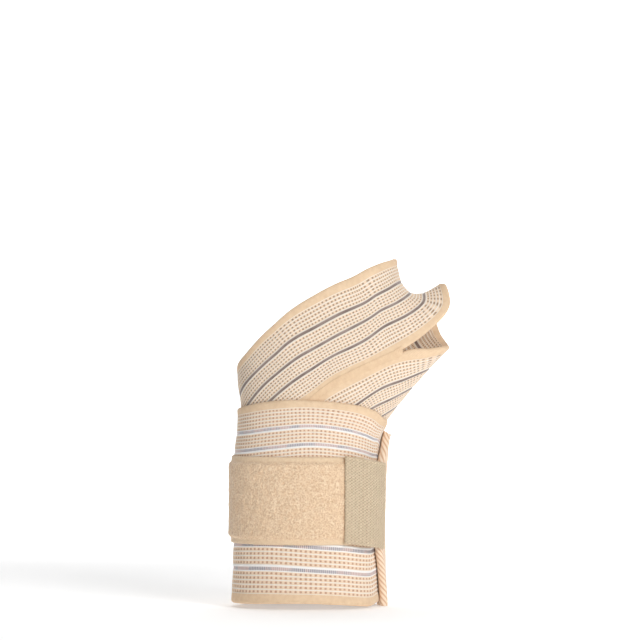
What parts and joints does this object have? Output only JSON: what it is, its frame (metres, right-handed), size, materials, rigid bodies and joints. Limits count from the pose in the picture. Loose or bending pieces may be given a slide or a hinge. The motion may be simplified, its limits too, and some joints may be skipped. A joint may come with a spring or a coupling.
{
  "type": "elastic wrist wrap",
  "caption": "Elastic wrist wrap with a thumb loop, wound round hand and wrist and closed by a hook tab on a loop pad, held in its worn form.",
  "frame": {"origin": "on the wrist's axis, in the plane of the cuff's lower opening", "axes": "+Z along the forearm towards the fingers, +X towards the thumb, +Y towards the palm, -Y towards the back of the hand"},
  "size_m": [0.1086, 0.0616, 0.1694],
  "materials": {
    "elastic": "woven elastic net with plain edges and shiny grip stripes",
    "loop_pile": "fuzzy loop pile",
    "hook_tape": "flat woven back of hook tape",
    "binding": "ribbed woven binding tape"
  },
  "bodies": {
    "root": {"upper_band": "elastic", "lower_band": "elastic", "loop_pad": "loop_pile", "hook_tab": "hook_tape", "end_binding": "binding"}
  },
  "joints": []
}
